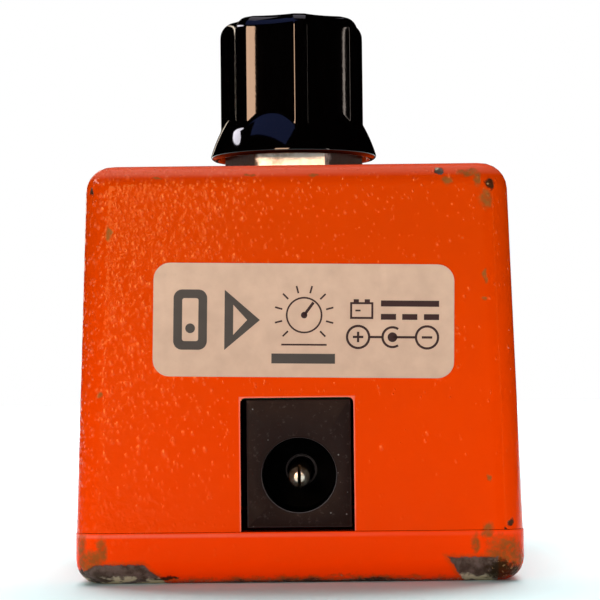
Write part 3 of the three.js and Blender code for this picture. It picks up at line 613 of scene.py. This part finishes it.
# ---- Knob ------------
def make_knob():
    """A fluted knob of glossy black, with a flared skirt and a stepped bore from below."""
    flutes, land_r, floor_r = 7, LAND_R, 6.1
    half, phase = math.radians(20.4), math.radians(-108.7)
    theta = np.linspace(0, 2 * math.pi, 7 * 96, endpoint=False)
    edge = land_r * np.array([math.cos(half), math.sin(half)])
    cutter_x = (edge @ edge - floor_r**2) / (2 * (edge[0] - floor_r))
    cutter_r = cutter_x - floor_r
    pitch = 2 * math.pi / flutes
    off = (theta - phase + pitch / 2) % pitch - pitch / 2
    inside = np.clip(cutter_r**2 - (cutter_x * np.sin(off)) ** 2, 0, None)
    flute_r = cutter_x * np.cos(off) - np.sqrt(inside)
    body_r = np.where(np.abs(off) < half, np.minimum(flute_r, land_r), land_r)
    for _ in range(2):  # takes the knife edge off the arrises
        body_r = (np.roll(body_r, 1) + 2 * body_r + np.roll(body_r, -1)) / 4

    # The skirt flares evenly: its slope grows steadily from its rim to the foot of the flutes.
    rim_z, rim_r, slope, growth = 0.35, 7.7, 0.287, 0.046
    skirt = [(0, 7.42), (0.12, 7.6), (0.22, 7.67)]
    for rise in np.linspace(0, 3.5 - rim_z, 24):
        skirt.append((rim_z + rise, rim_r - slope * rise - growth * rise**2))
    skirt = np.array(skirt + [(4.05, 6.0), (4.6, 5.55), (5.2, 4.9)])
    heights = np.concatenate([np.linspace(0, 0.6, 9), np.linspace(0.7, 5.2, 60), np.linspace(5.4, 11.3, 14)])

    def ring(radius, z):
        radius = np.broadcast_to(radius, theta.shape)
        return np.stack([KNOB_X + radius * np.cos(theta), KNOB_Y + radius * np.sin(theta),
                         np.full(theta.shape, KNOB_FOOT + z)], axis=1)

    bore = ((0.05, 9.9), (3.2, 9.9), (3.2, 3.2), (3.8, 3.1), (3.8, 1.8), (6.8, 1.75), (6.9, 1.6), (6.95, 0.1),
            (7.1, 0.0))
    rings = [ring(r, z) for r, z in bore]
    soft = 0.05  # how softly the flutes run into the skirt
    for z in heights:
        flare = np.interp(z, skirt[:, 0], skirt[:, 1]) if z < 5.2 else 0.0
        gap = np.abs(body_r - flare)
        rings.append(ring(np.maximum(body_r, flare) + soft * np.clip(1 - gap / (4 * soft), 0, None) ** 2, z))
    top, fillet = KNOB_TOP - KNOB_FOOT, CROWN_R
    for a in np.linspace(0, 90, 10)[1:]:
        a = math.radians(a)
        rings.append(ring(body_r - fillet * (1 - math.cos(a)), top - fillet * (1 - math.sin(a))))
    for share in (0.9, 0.75, 0.5, 0.25, 0.05):
        rings.append(ring((body_r - fillet) * share, top - 0.05 * (1 - share)))
    piece("fluted_knob", rings_to_mesh(rings), "knob", "control_knob")


make_knob()


def make_pointer():
    """A white line down a land of the knob and over its crown, a little proud of it."""
    angle, half = math.radians(POINTER_ANGLE), 0.42
    profile = [(LAND_R, KNOB_FOOT + 4.9, 1.0, 0.0)]
    for a in np.radians(np.linspace(0, 90, 9)):
        c, s = math.cos(a), math.sin(a)
        profile.append((LAND_R - CROWN_R * (1 - c), KNOB_TOP - CROWN_R * (1 - s), c, s))
    profile.append((1.2, KNOB_TOP - 0.02, 0.0, 1.0))
    along = Vector((math.cos(angle), math.sin(angle), 0))
    across = Vector((-along.y, along.x, 0))
    section = ((-half, -0.3), (half, -0.3), (half, 0.02), (half - 0.06, 0.07), (0.06 - half, 0.07),
               (-half, 0.02))
    rings = []
    for r, z, nr, nz in profile:
        outline = []
        for side, lift in section:
            spot = along * (r + nr * lift) + across * side
            outline.append((KNOB_X + spot.x, KNOB_Y + spot.y, z + nz * lift))
        rings.append(outline)
    piece("pointer_line", rings_to_mesh(rings), "knob_pointer", "control_knob", smooth=False)


make_pointer()


# ---- Label on the end wall ------------
LABEL_X, LABEL_Z, LABEL_ROLL = 0.54, 22.5, math.radians(-1.0)
LABEL_HALF_U, LABEL_HALF_V, LABEL_R, LABEL_T = 12.95, 4.9, 1.45, 0.12


class Flat:
    """Thin closed shapes on the end wall, in label coordinates: u right, v up, w outwards."""

    def __init__(self, low, high):
        self.low, self.high = low, high
        self.verts, self.faces = [], []

    def loop(self, points, w):
        start = len(self.verts)
        self.verts += [(u, v, w) for u, v in points]
        return [start + i for i in range(len(points))]

    def polygon(self, points):
        if sum(a[0] * b[1] - b[0] * a[1] for a, b in zip(points, points[1:] + points[:1])) < 0:
            points = points[::-1]
        low, high = self.loop(points, self.low), self.loop(points, self.high)
        self.faces += [high, low[::-1]]
        for i in range(len(points)):
            j = (i + 1) % len(points)
            self.faces.append([low[i], low[j], high[j], high[i]])

    def band(self, outer, inner, closed=True):
        """A ring, or an open stroke, between two lines of equally many points."""
        sides = [self.loop(points, w) for points in (outer, inner) for w in (self.low, self.high)]
        outer_low, outer_high, inner_low, inner_high = sides
        count = len(outer)
        for i in range(count if closed else count - 1):
            j = (i + 1) % count
            self.faces += [[outer_high[i], outer_high[j], inner_high[j], inner_high[i]],
                           [outer_low[j], outer_low[i], inner_low[i], inner_low[j]],
                           [outer_low[i], outer_low[j], outer_high[j], outer_high[i]],
                           [inner_low[j], inner_low[i], inner_high[i], inner_high[j]]]
        if not closed:
            for i, turn in ((0, 1), (count - 1, -1)):
                self.faces.append([outer_low[i], outer_high[i], inner_high[i], inner_low[i]][::turn])

    def ring(self, u, v, radius, stroke, start=0.0, end=360.0, steps=40):
        closed = end - start >= 360
        angles = np.radians(np.linspace(start, end, steps, endpoint=not closed))
        lines = [[(u + r * math.cos(a), v + r * math.sin(a)) for a in angles]
                 for r in (radius + stroke / 2, radius - stroke / 2)]
        self.band(*lines, closed=closed)

    def disc(self, u, v, radius, steps=32):
        self.polygon([(u + radius * math.cos(a), v + radius * math.sin(a))
                      for a in np.linspace(0, 2 * math.pi, steps, endpoint=False)])

    def line(self, a, b, stroke):
        along = Vector(b) - Vector(a)
        side = Vector((-along.y, along.x)).normalized() * stroke / 2
        corners = (Vector(a) + side, Vector(a) - side, Vector(b) - side, Vector(b) + side)
        self.polygon([tuple(corner) for corner in corners])

    def bar(self, u0, u1, v0, v1):
        self.polygon([(u0, v0), (u1, v0), (u1, v1), (u0, v1)])

    def make(self, name, ink=None):
        lean, z = math.atan(DRAFT), LABEL_Z
        origin = Vector((LABEL_X, -(HALF_LENGTH - DRAFT * (z - PLATE_H)), z))
        across, up = Vector((1, 0, 0)), Vector((0, math.sin(lean), math.cos(lean)))
        out = Vector((0, -math.cos(lean), math.sin(lean)))
        c, s = math.cos(LABEL_ROLL), math.sin(LABEL_ROLL)
        placed = [origin + across * (u * c - v * s) + up * (u * s + v * c) + out * w
                  for u, v, w in self.verts]
        piece(name, (placed, self.faces), "rating_label", ink=ink, smooth=False)


def rounded(half_u, half_v, radius, steps=10, u=0.0, v=0.0):
    """The outline of a rectangle with round corners, about its centre (u, v)."""
    points = []
    for corner, (su, sv) in enumerate(((1, 1), (-1, 1), (-1, -1), (1, -1))):
        centre_u, centre_v = u + su * (half_u - radius), v + sv * (half_v - radius)
        for a in np.radians(np.linspace(90 * corner, 90 * corner + 90, steps)):
            points.append((centre_u + radius * math.cos(a), centre_v + radius * math.sin(a)))
    return points


def make_label():
    """A pale film sticker with generic marks, each a thin raised shape."""
    film = Flat(0.03, LABEL_T)
    film.polygon(rounded(LABEL_HALF_U, LABEL_HALF_V, LABEL_R))
    film.make("label_sticker")

    top = LABEL_T + 0.012
    heavy = Flat(LABEL_T - 0.02, top)
    # A generic pedal: its outline and a switch.
    heavy.band(rounded(1.45, 2.6, 0.75, u=-9.75), rounded(0.7, 1.85, 0.2, u=-9.75))
    heavy.disc(-9.75, -0.75, 0.42)
    # A generic amplifier stage: a bold triangle.
    outer = [(-6.8, 2.6), (-6.8, -2.6), (-3.75, 0.0)]
    inner = [(-6.05, 1.3), (-6.05, -1.3), (-4.85, 0.0)]
    heavy.band(outer, inner)
    heavy.bar(-2.74, 2.73, -3.72, -2.87)
    heavy.make("label_bold_marks", BOLD_INK)

    fine = Flat(LABEL_T - 0.02, top)
    stroke = 0.15
    # A generic dial: a knob in a ring of ticks.
    dial_u, dial_v = 0.05, 0.45
    fine.ring(dial_u, dial_v, 1.5, stroke)
    fine.line((dial_u, dial_v), (0.85, 1.55), stroke * 1.6)
    fine.disc(dial_u, dial_v, 0.28)
    for angle in range(-45, 226, 30):
        a = math.radians(angle)
        fine.line(*[(dial_u + r * math.cos(a), dial_v + r * math.sin(a)) for r in (1.95, 2.6)], stroke)
    fine.line((-1.9, -2.1), (2.0, -2.1), stroke)
    # A generic battery, the direct-current sign and a centre-negative barrel plug.
    fine.band([(4.0, 0.15), (6.0, 0.15), (6.0, 1.6), (4.0, 1.6)],
              [(4.18, 0.33), (5.82, 0.33), (5.82, 1.42), (4.18, 1.42)])
    fine.bar(4.3, 4.75, 1.6, 1.85)
    fine.bar(5.25, 5.7, 1.6, 1.85)
    fine.bar(4.45, 4.9, 0.8, 0.95)
    fine.bar(6.65, 11.65, 1.24, 1.76)
    for u in (6.65, 8.48, 10.35):
        fine.bar(u, u + 1.3, 0.1, 0.6)
    v, r, pen = -1.4, 0.95, 0.2
    for u in (4.7, 10.62):
        fine.ring(u, v, r, pen)
    fine.ring(7.65, v, 0.85, pen, 55, 305)
    fine.disc(7.65, v, 0.42)
    for u0, u1 in ((5.65, 6.8), (7.65, 9.67), (4.25, 5.15), (10.17, 11.07)):
        fine.line((u0, v), (u1, v), pen)
    fine.line((4.7, v - 0.45), (4.7, v + 0.45), pen)
    fine.make("label_fine_marks", FINE_INK)


make_label()


# ---- Power socket ------------
def make_socket():
    """The power socket's shell: a rectangular face, its mouth, and the boss round the pin behind it."""
    half_x, back_y, top_z = 4.5, SOCKET_FACE_Y + 14.4, SOCKET_Z + 11.0
    below, above = SOCKET_HOLE_Z - SOCKET_Z, top_z - SOCKET_HOLE_Z
    corners = [math.atan2(v, u) % (2 * math.pi) for u in (half_x, -half_x) for v in (above, -below)]
    angles = np.sort(np.concatenate([np.linspace(0, 2 * math.pi, 96, endpoint=False), corners]))

    def outline(inset, y):
        points = []
        for a in angles:
            c, s = math.cos(a), math.sin(a)
            reach = [(half_x - inset) / abs(c) if abs(c) > 1e-9 else 1e9,
                     ((above if s > 0 else below) - inset) / abs(s) if abs(s) > 1e-9 else 1e9]
            points.append((SOCKET_X + min(reach) * c, y, SOCKET_HOLE_Z + min(reach) * s))
        return points

    def circle(radius, depth, lift=0.0):
        return [(SOCKET_X + lift / 2 + radius * math.cos(a), SOCKET_FACE_Y + depth,
                 SOCKET_HOLE_Z + lift + radius * math.sin(a)) for a in angles]

    rings = [outline(0, back_y), outline(0, SOCKET_FACE_Y + 0.22), outline(0.06, SOCKET_FACE_Y + 0.06),
             outline(0.2, SOCKET_FACE_Y), circle(3.36, 0), circle(3.27, 0.03), circle(3.21, 0.12),
             circle(3.2, 0.2), circle(3.18, 9.4), circle(1.38, 9.42, 0.2), circle(1.34, 9.2, 0.2),
             circle(1.26, 9.15, 0.2), circle(1.23, 9.2, 0.15), circle(1.2, 11.0), circle(1.18, 12.6)]
    piece("power_socket_shell", rings_to_mesh([r[::-1] for r in rings]), "power_socket_body", split=40)


make_socket()


# ---- Turned and hexagonal parts ------------
def on_axis(x, y):
    """Placement for a part drawn round +Z."""
    return Matrix.Translation((x, y, 0))


def in_side_wall(side, y):
    """Placement for a part drawn round +Z, laid to face out of a side wall."""
    return Matrix.Translation((0, y, JACK_Z)) @ Matrix.Rotation(side * math.pi / 2, 4, "Y")


def swept(outlines, placement, closed):
    """Rings of (angle, radius, height) points as verts and faces; closed joins the last ring to the first."""
    rings = [[tuple(placement @ Vector((r * math.cos(a), r * math.sin(a), z))) for a, r, z in outline]
             for outline in outlines]
    verts, faces = rings_to_mesh(rings)
    if not closed:
        return verts, faces
    count = len(rings[0])
    faces = faces[:(len(rings) - 1) * count]
    last = (len(rings) - 1) * count
    faces += [(last + i, last + (i + 1) % count, (i + 1) % count, i) for i in range(count)]
    return verts[:-2], faces


def lathe(profile, placement, closed=False, steps=72):
    """A turned part from (radius, height) points; a closed one is a ring with a hole through it."""
    angles = np.linspace(0, 2 * math.pi, steps, endpoint=False)
    return swept([[(a, max(r, 0.01), z) for a in angles] for r, z in profile], placement, closed)


def hexagonal(flats, bore, z0, z1, turn, placement):
    """A nut whose corners are chamfered at both ends, as a ring of outlines."""
    angles = np.linspace(0, 2 * math.pi, 96, endpoint=False) + turn
    corner, chamfer = flats / math.sqrt(3), 0.3

    def outline(cone, z):
        points = []
        for a in angles:
            off = (a - turn + math.pi / 6) % (math.pi / 3) - math.pi / 6
            side = flats / 2 / math.cos(math.pi / 6 - abs(off))
            points.append((a, min(side, cone), z))
        return points

    start = flats / 2 - 0.12
    rise = [(start + (corner - start) * t, chamfer * t * 1.6) for t in np.linspace(0, 1, 7)]
    sides = [outline(cone, z0 + h) for cone, h in rise] + [outline(cone, z1 - h) for cone, h in rise[::-1]]
    bore_top = [[(a, bore + e, z) for a in angles] for e, z in ((0.25, z1), (0.0, z1 - 0.25))]
    bore_foot = [[(a, bore + e, z) for a in angles] for e, z in ((0.0, z0 + 0.25), (0.25, z0))]
    return swept(sides + bore_top + bore_foot, placement, True)


def rounded_corner(r, z, radius, start, end, steps=6):
    """Points of an arc of a profile, about its centre (r, z), between two angles in degrees."""
    return [(r + radius * math.cos(a), z + radius * math.sin(a))
            for a in np.radians(np.linspace(start, end, steps))]


def add_footswitch_parts():
    """The footswitch's nut, bushing, washer and plunger, all on one axis."""
    here = on_axis(0, FOOTSWITCH_Y)
    nut = hexagonal(14, 6.1, ROOF_Z + 0.8, ROOF_Z + 3.0, 0, here)
    piece("chamfered_footswitch_nut", nut, "footswitch_nut", split=35)
    # The bushing, with the turns of its thread cut above the nut and below it.
    foot, top, outer, root = 30.0, 40.6, 5.95, 5.66
    thread = []
    for z in np.arange(foot + 1.3, top - 0.6, 0.5):
        thread += [(root, z), (outer, z + 0.17), (outer, z + 0.25), (root, z + 0.42)]
    bushing = [(4.4, foot), (7.5, foot), (7.6, foot + 0.1), (7.6, foot + 0.8), (7.5, foot + 0.9)]
    bushing += [(root, foot + 0.9)] + thread + [(5.6, top - 0.25), (5.4, top), (4.6, top), (4.4, top - 0.15)]
    piece("threaded_footswitch_bushing", lathe(bushing, here, True), "footswitch_bushing", split=25)
    washer = [(6.15, ROOF_Z), (8.45, ROOF_Z)] + rounded_corner(8.45, ROOF_Z + 0.4, 0.15, -90, 0)
    washer += rounded_corner(8.2, ROOF_Z + 0.4, 0.4, 0, 90) + [(6.35, ROOF_Z + 0.8), (6.15, ROOF_Z + 0.6)]
    piece("rounded_footswitch_washer", lathe(washer, here, True), "footswitch_washer", split=35)
    plunger = [(0, 31.0), (1.45, 31.0), (1.6, 31.15), (1.6, 36.6), (3.9, 36.6), (4.1, 36.8), (4.1, 42.5)]
    plunger += [(4.2, 42.62), (4.75, 42.92)] + rounded_corner(4.72, 43.2, 0.28, -75, 0)
    plunger += [(5.0, 44.2), (4.93, 44.3), (4.93, 44.45), (5.0, 44.55), (5.0, 47.0)]
    plunger += rounded_corner(4.0, 47.35, 1.0, 0, 60, 8)
    plunger += [(4.0, 48.42), (3.2, 48.78), (2.2, 49.03), (1.1, 49.16), (0, 49.2)]
    piece("domed_plunger", lathe(plunger, here, steps=96), "footswitch_plunger", "footswitch_button",
          split=50)


def add_return_spring():
    """The spring round the plunger's stem."""
    turns, steps, wire, coil = 4, 144, 0.35, 2.7
    foot, top, stroke = 30.5, 36.1, 1.6
    rings = []
    for t in np.linspace(0, 1, steps):
        a = 2 * math.pi * turns * t
        out, down = Vector((math.cos(a), math.sin(a), 0)), Vector((0, 0, -1))
        centre = out * coil + Vector((0, FOOTSWITCH_Y, foot + (top - foot) * t))
        rings.append([tuple(centre + (out * math.cos(b) + down * math.sin(b)) * wire)
                      for b in np.linspace(0, 2 * math.pi, 10, endpoint=False)])
    made = piece("return_spring", rings_to_mesh(rings), "footswitch_spring")
    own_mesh(made)


def add_jack_parts():
    """A nut and a washer round each jack, on the two side walls."""
    for name, side, y in (("input", -1, INPUT_Y), ("output", 1, OUTPUT_Y)):
        here, seat = in_side_wall(side, y), JACK_SEAT
        nut = hexagonal(12.7, 4.9, seat + 0.6, seat + 2.3, math.radians(30), here)
        piece(f"chamfered_{name}_nut", nut, f"{name}_jack_nut", split=35)
        washer = [(4.95, seat), (6.9, seat), (7.0, seat + 0.1), (7.0, seat + 0.45)]
        washer += rounded_corner(6.85, seat + 0.45, 0.15, 0, 90) + [(5.1, seat + 0.6), (4.95, seat + 0.5)]
        piece(f"rounded_{name}_washer", lathe(washer, here, True), f"{name}_jack_washer", split=35)


def add_mode_buttons():
    """Two black caps with a groove round them and a dished top."""
    stem, cap, top = BOARD_TOP + 4.0, BOARD_TOP + 6.0, ROOF_Z + 2.5
    profile = [(0, stem), (1.2, stem), (1.3, stem + 0.1), (1.3, cap), (2.4, cap), (2.5, cap + 0.1)]
    profile += [(2.5, ROOF_Z + 0.7), (2.44, ROOF_Z + 0.8), (2.44, ROOF_Z + 0.95), (2.5, ROOF_Z + 1.05)]
    profile += rounded_corner(2.1, top - 0.4, 0.4, 0, 90)
    profile += [(1.75, top), (1.6, top - 0.06), (0.9, top - 0.2), (0, top - 0.25)]
    for side, x in (("left", BUTTON_X), ("right", -BUTTON_X)):
        piece(f"dished_button_{side}", lathe(profile, on_axis(x, BUTTON_Y)), f"mode_button_{side}",
              f"mode_cap_{side}", split=35)


def add_lamp():
    """The status lamp: its rolled bezel, and its lens on two leads."""
    under = NODES["led_bezel"].bound_box[0][2] / MM + 1
    bezel = [(2.65, under - 1), (3.0, under - 1), (3.0, ROOF_Z), (3.8, ROOF_Z)]
    bezel += rounded_corner(3.7, ROOF_Z + 0.2, 0.2, -30, 0, 3)
    bezel += rounded_corner(3.3, ROOF_Z + 0.3, 0.6, 0, 90, 8)
    bezel += [(2.95, ROOF_Z + 0.88), (2.75, ROOF_Z + 0.75), (2.65, ROOF_Z + 0.55)]
    piece("rolled_led_bezel", lathe(bezel, on_axis(0, LED_Y), True), "led_bezel", split=35)
    lamp = [(0, under - 2.4), (2.8, under - 2.4), (2.9, under - 2.3), (2.9, under - 1.5)]
    lamp += [(2.8, under - 1.4), (2.5, under - 1.4)] + rounded_corner(0, ROOF_Z - 0.6, 2.5, 0, 90, 14)
    verts, faces = lathe(lamp, on_axis(0, LED_Y))
    lead = [(0, BOARD_TOP), (0.3, BOARD_TOP), (0.3, under - 2.45), (0, under - 2.45)]
    for x in (-1.27, 1.27):
        more, sides = lathe(lead, on_axis(x, LED_Y), steps=16)
        faces += [tuple(i + len(verts) for i in face) for face in sides]
        verts = verts + more
    piece("led_lens", (verts, faces), "status_led", split=40)


add_footswitch_parts()
add_return_spring()
add_jack_parts()
add_mode_buttons()
add_lamp()


# ---- Floor, lights and background ------------
def area(name, azimuth, elevation, distance, width, height, strength, color, only, shape="RECTANGLE"):
    """A soft light that shows only in diffuse or only in glossy light.

    Azimuth 0 is behind the camera and -90 is to its left."""
    data = bpy.data.lights.new(name, "AREA")
    data.shape = shape
    data.size, data.size_y = width * MM, height * MM
    data.energy = strength * math.pi * data.size * data.size_y
    data.color = color
    light = bpy.data.objects.new(name, data)
    bpy.context.scene.collection.objects.link(light)
    light.visible_glossy = only != "diffuse"
    light.visible_diffuse = only != "glossy"
    a, e = math.radians(azimuth), math.radians(elevation)
    away = Vector((math.sin(a) * math.cos(e), -math.cos(a) * math.cos(e), math.sin(e)))
    place = (Vector((0, -30, 25)) + away * distance) * MM
    light.matrix_world = Matrix.Translation(place) @ (-away).to_track_quat("-Z", "Y").to_matrix().to_4x4()


def add_floor():
    """A pale floor just under the object, large enough to fill the view."""
    reach, pale = 6.0, (0.71, 0.885, 0.9)
    sheet = bpy.data.meshes.new("floor")
    corners = [(-reach, -reach, 0), (reach, -reach, 0), (reach, reach, 0), (-reach, reach, 0)]
    sheet.from_pydata(corners, [], [(0, 1, 2, 3)])
    look = Look("floor_white", pale, 0.8, Specular_IOR_Level=0.1)
    look.set("Base Color", look.mix(look.noise(0.02, 2), pale, (0.7, 0.875, 0.89)))
    sheet.materials.append(look.material)
    floor = bpy.data.objects.new("floor", sheet)
    bpy.context.scene.collection.objects.link(floor)
    floor.location.z = -0.02 * MM


def add_surroundings():
    """A white background, and a broad soft light high behind the object over an even fill."""
    world = bpy.data.worlds.new("studio")
    bpy.context.scene.world = world
    world.use_nodes = True
    nodes, links = world.node_tree.nodes, world.node_tree.links
    nodes.clear()
    world.cycles_visibility.glossy = False
    seen, around, where, facing, fall, path, pick, out = (nodes.new(f"ShaderNode{kind}") for kind in (
        "Background", "Background", "TexCoord", "VectorMath", "MapRange", "LightPath", "MixShader",
        "OutputWorld"))
    seen.inputs["Color"].default_value = (1, 1, 1, 1)
    facing.operation = "DOT_PRODUCT"
    height = math.radians(46)
    facing.inputs[1].default_value = (0, math.cos(height), math.sin(height))
    fall.interpolation_type = "SMOOTHSTEP"
    for index, value in ((1, 0.78), (2, 0.97), (3, 0.14), (4, 11.5)):
        fall.inputs[index].default_value = value
    links.new(where.outputs["Generated"], facing.inputs[0])
    links.new(facing.outputs["Value"], fall.inputs[0])
    links.new(fall.outputs[0], around.inputs["Strength"])
    links.new(path.outputs["Is Camera Ray"], pick.inputs[0])
    links.new(around.outputs[0], pick.inputs[1])
    links.new(seen.outputs[0], pick.inputs[2])
    links.new(pick.outputs[0], out.inputs[0])


def add_lights():
    area("front_soft", -13, 9, 900, 620, 420, 6.6, (1.0, 0.99, 0.97), "diffuse")
    area("window", -16.0, 20.2, 700, 224, 360, 15, (1.0, 0.62, 0.4), "glossy")
    area("overhead", 180, 80, 600, 300, 420, 0.9, (0.92, 0.86, 1.0), "glossy")
    area("small_lamp", -106, 34.6, 500, 190, 58, 9, (0.95, 0.9, 1.0), "glossy", "ELLIPSE")
    area("blue_glow", -46, 62, 600, 560, 320, 0.55, (0.25, 0.35, 1.0), "glossy")
    area("thin_left", -160, 12, 700, 50, 500, 2, (1.0, 0.85, 0.7), "glossy")
    area("thin_right", 50, 12, 700, 22, 420, 5.5, (1.0, 0.85, 0.75), "glossy")


add_floor()
add_surroundings()
add_lights()
bpy.context.scene.view_settings.view_transform = "Standard"
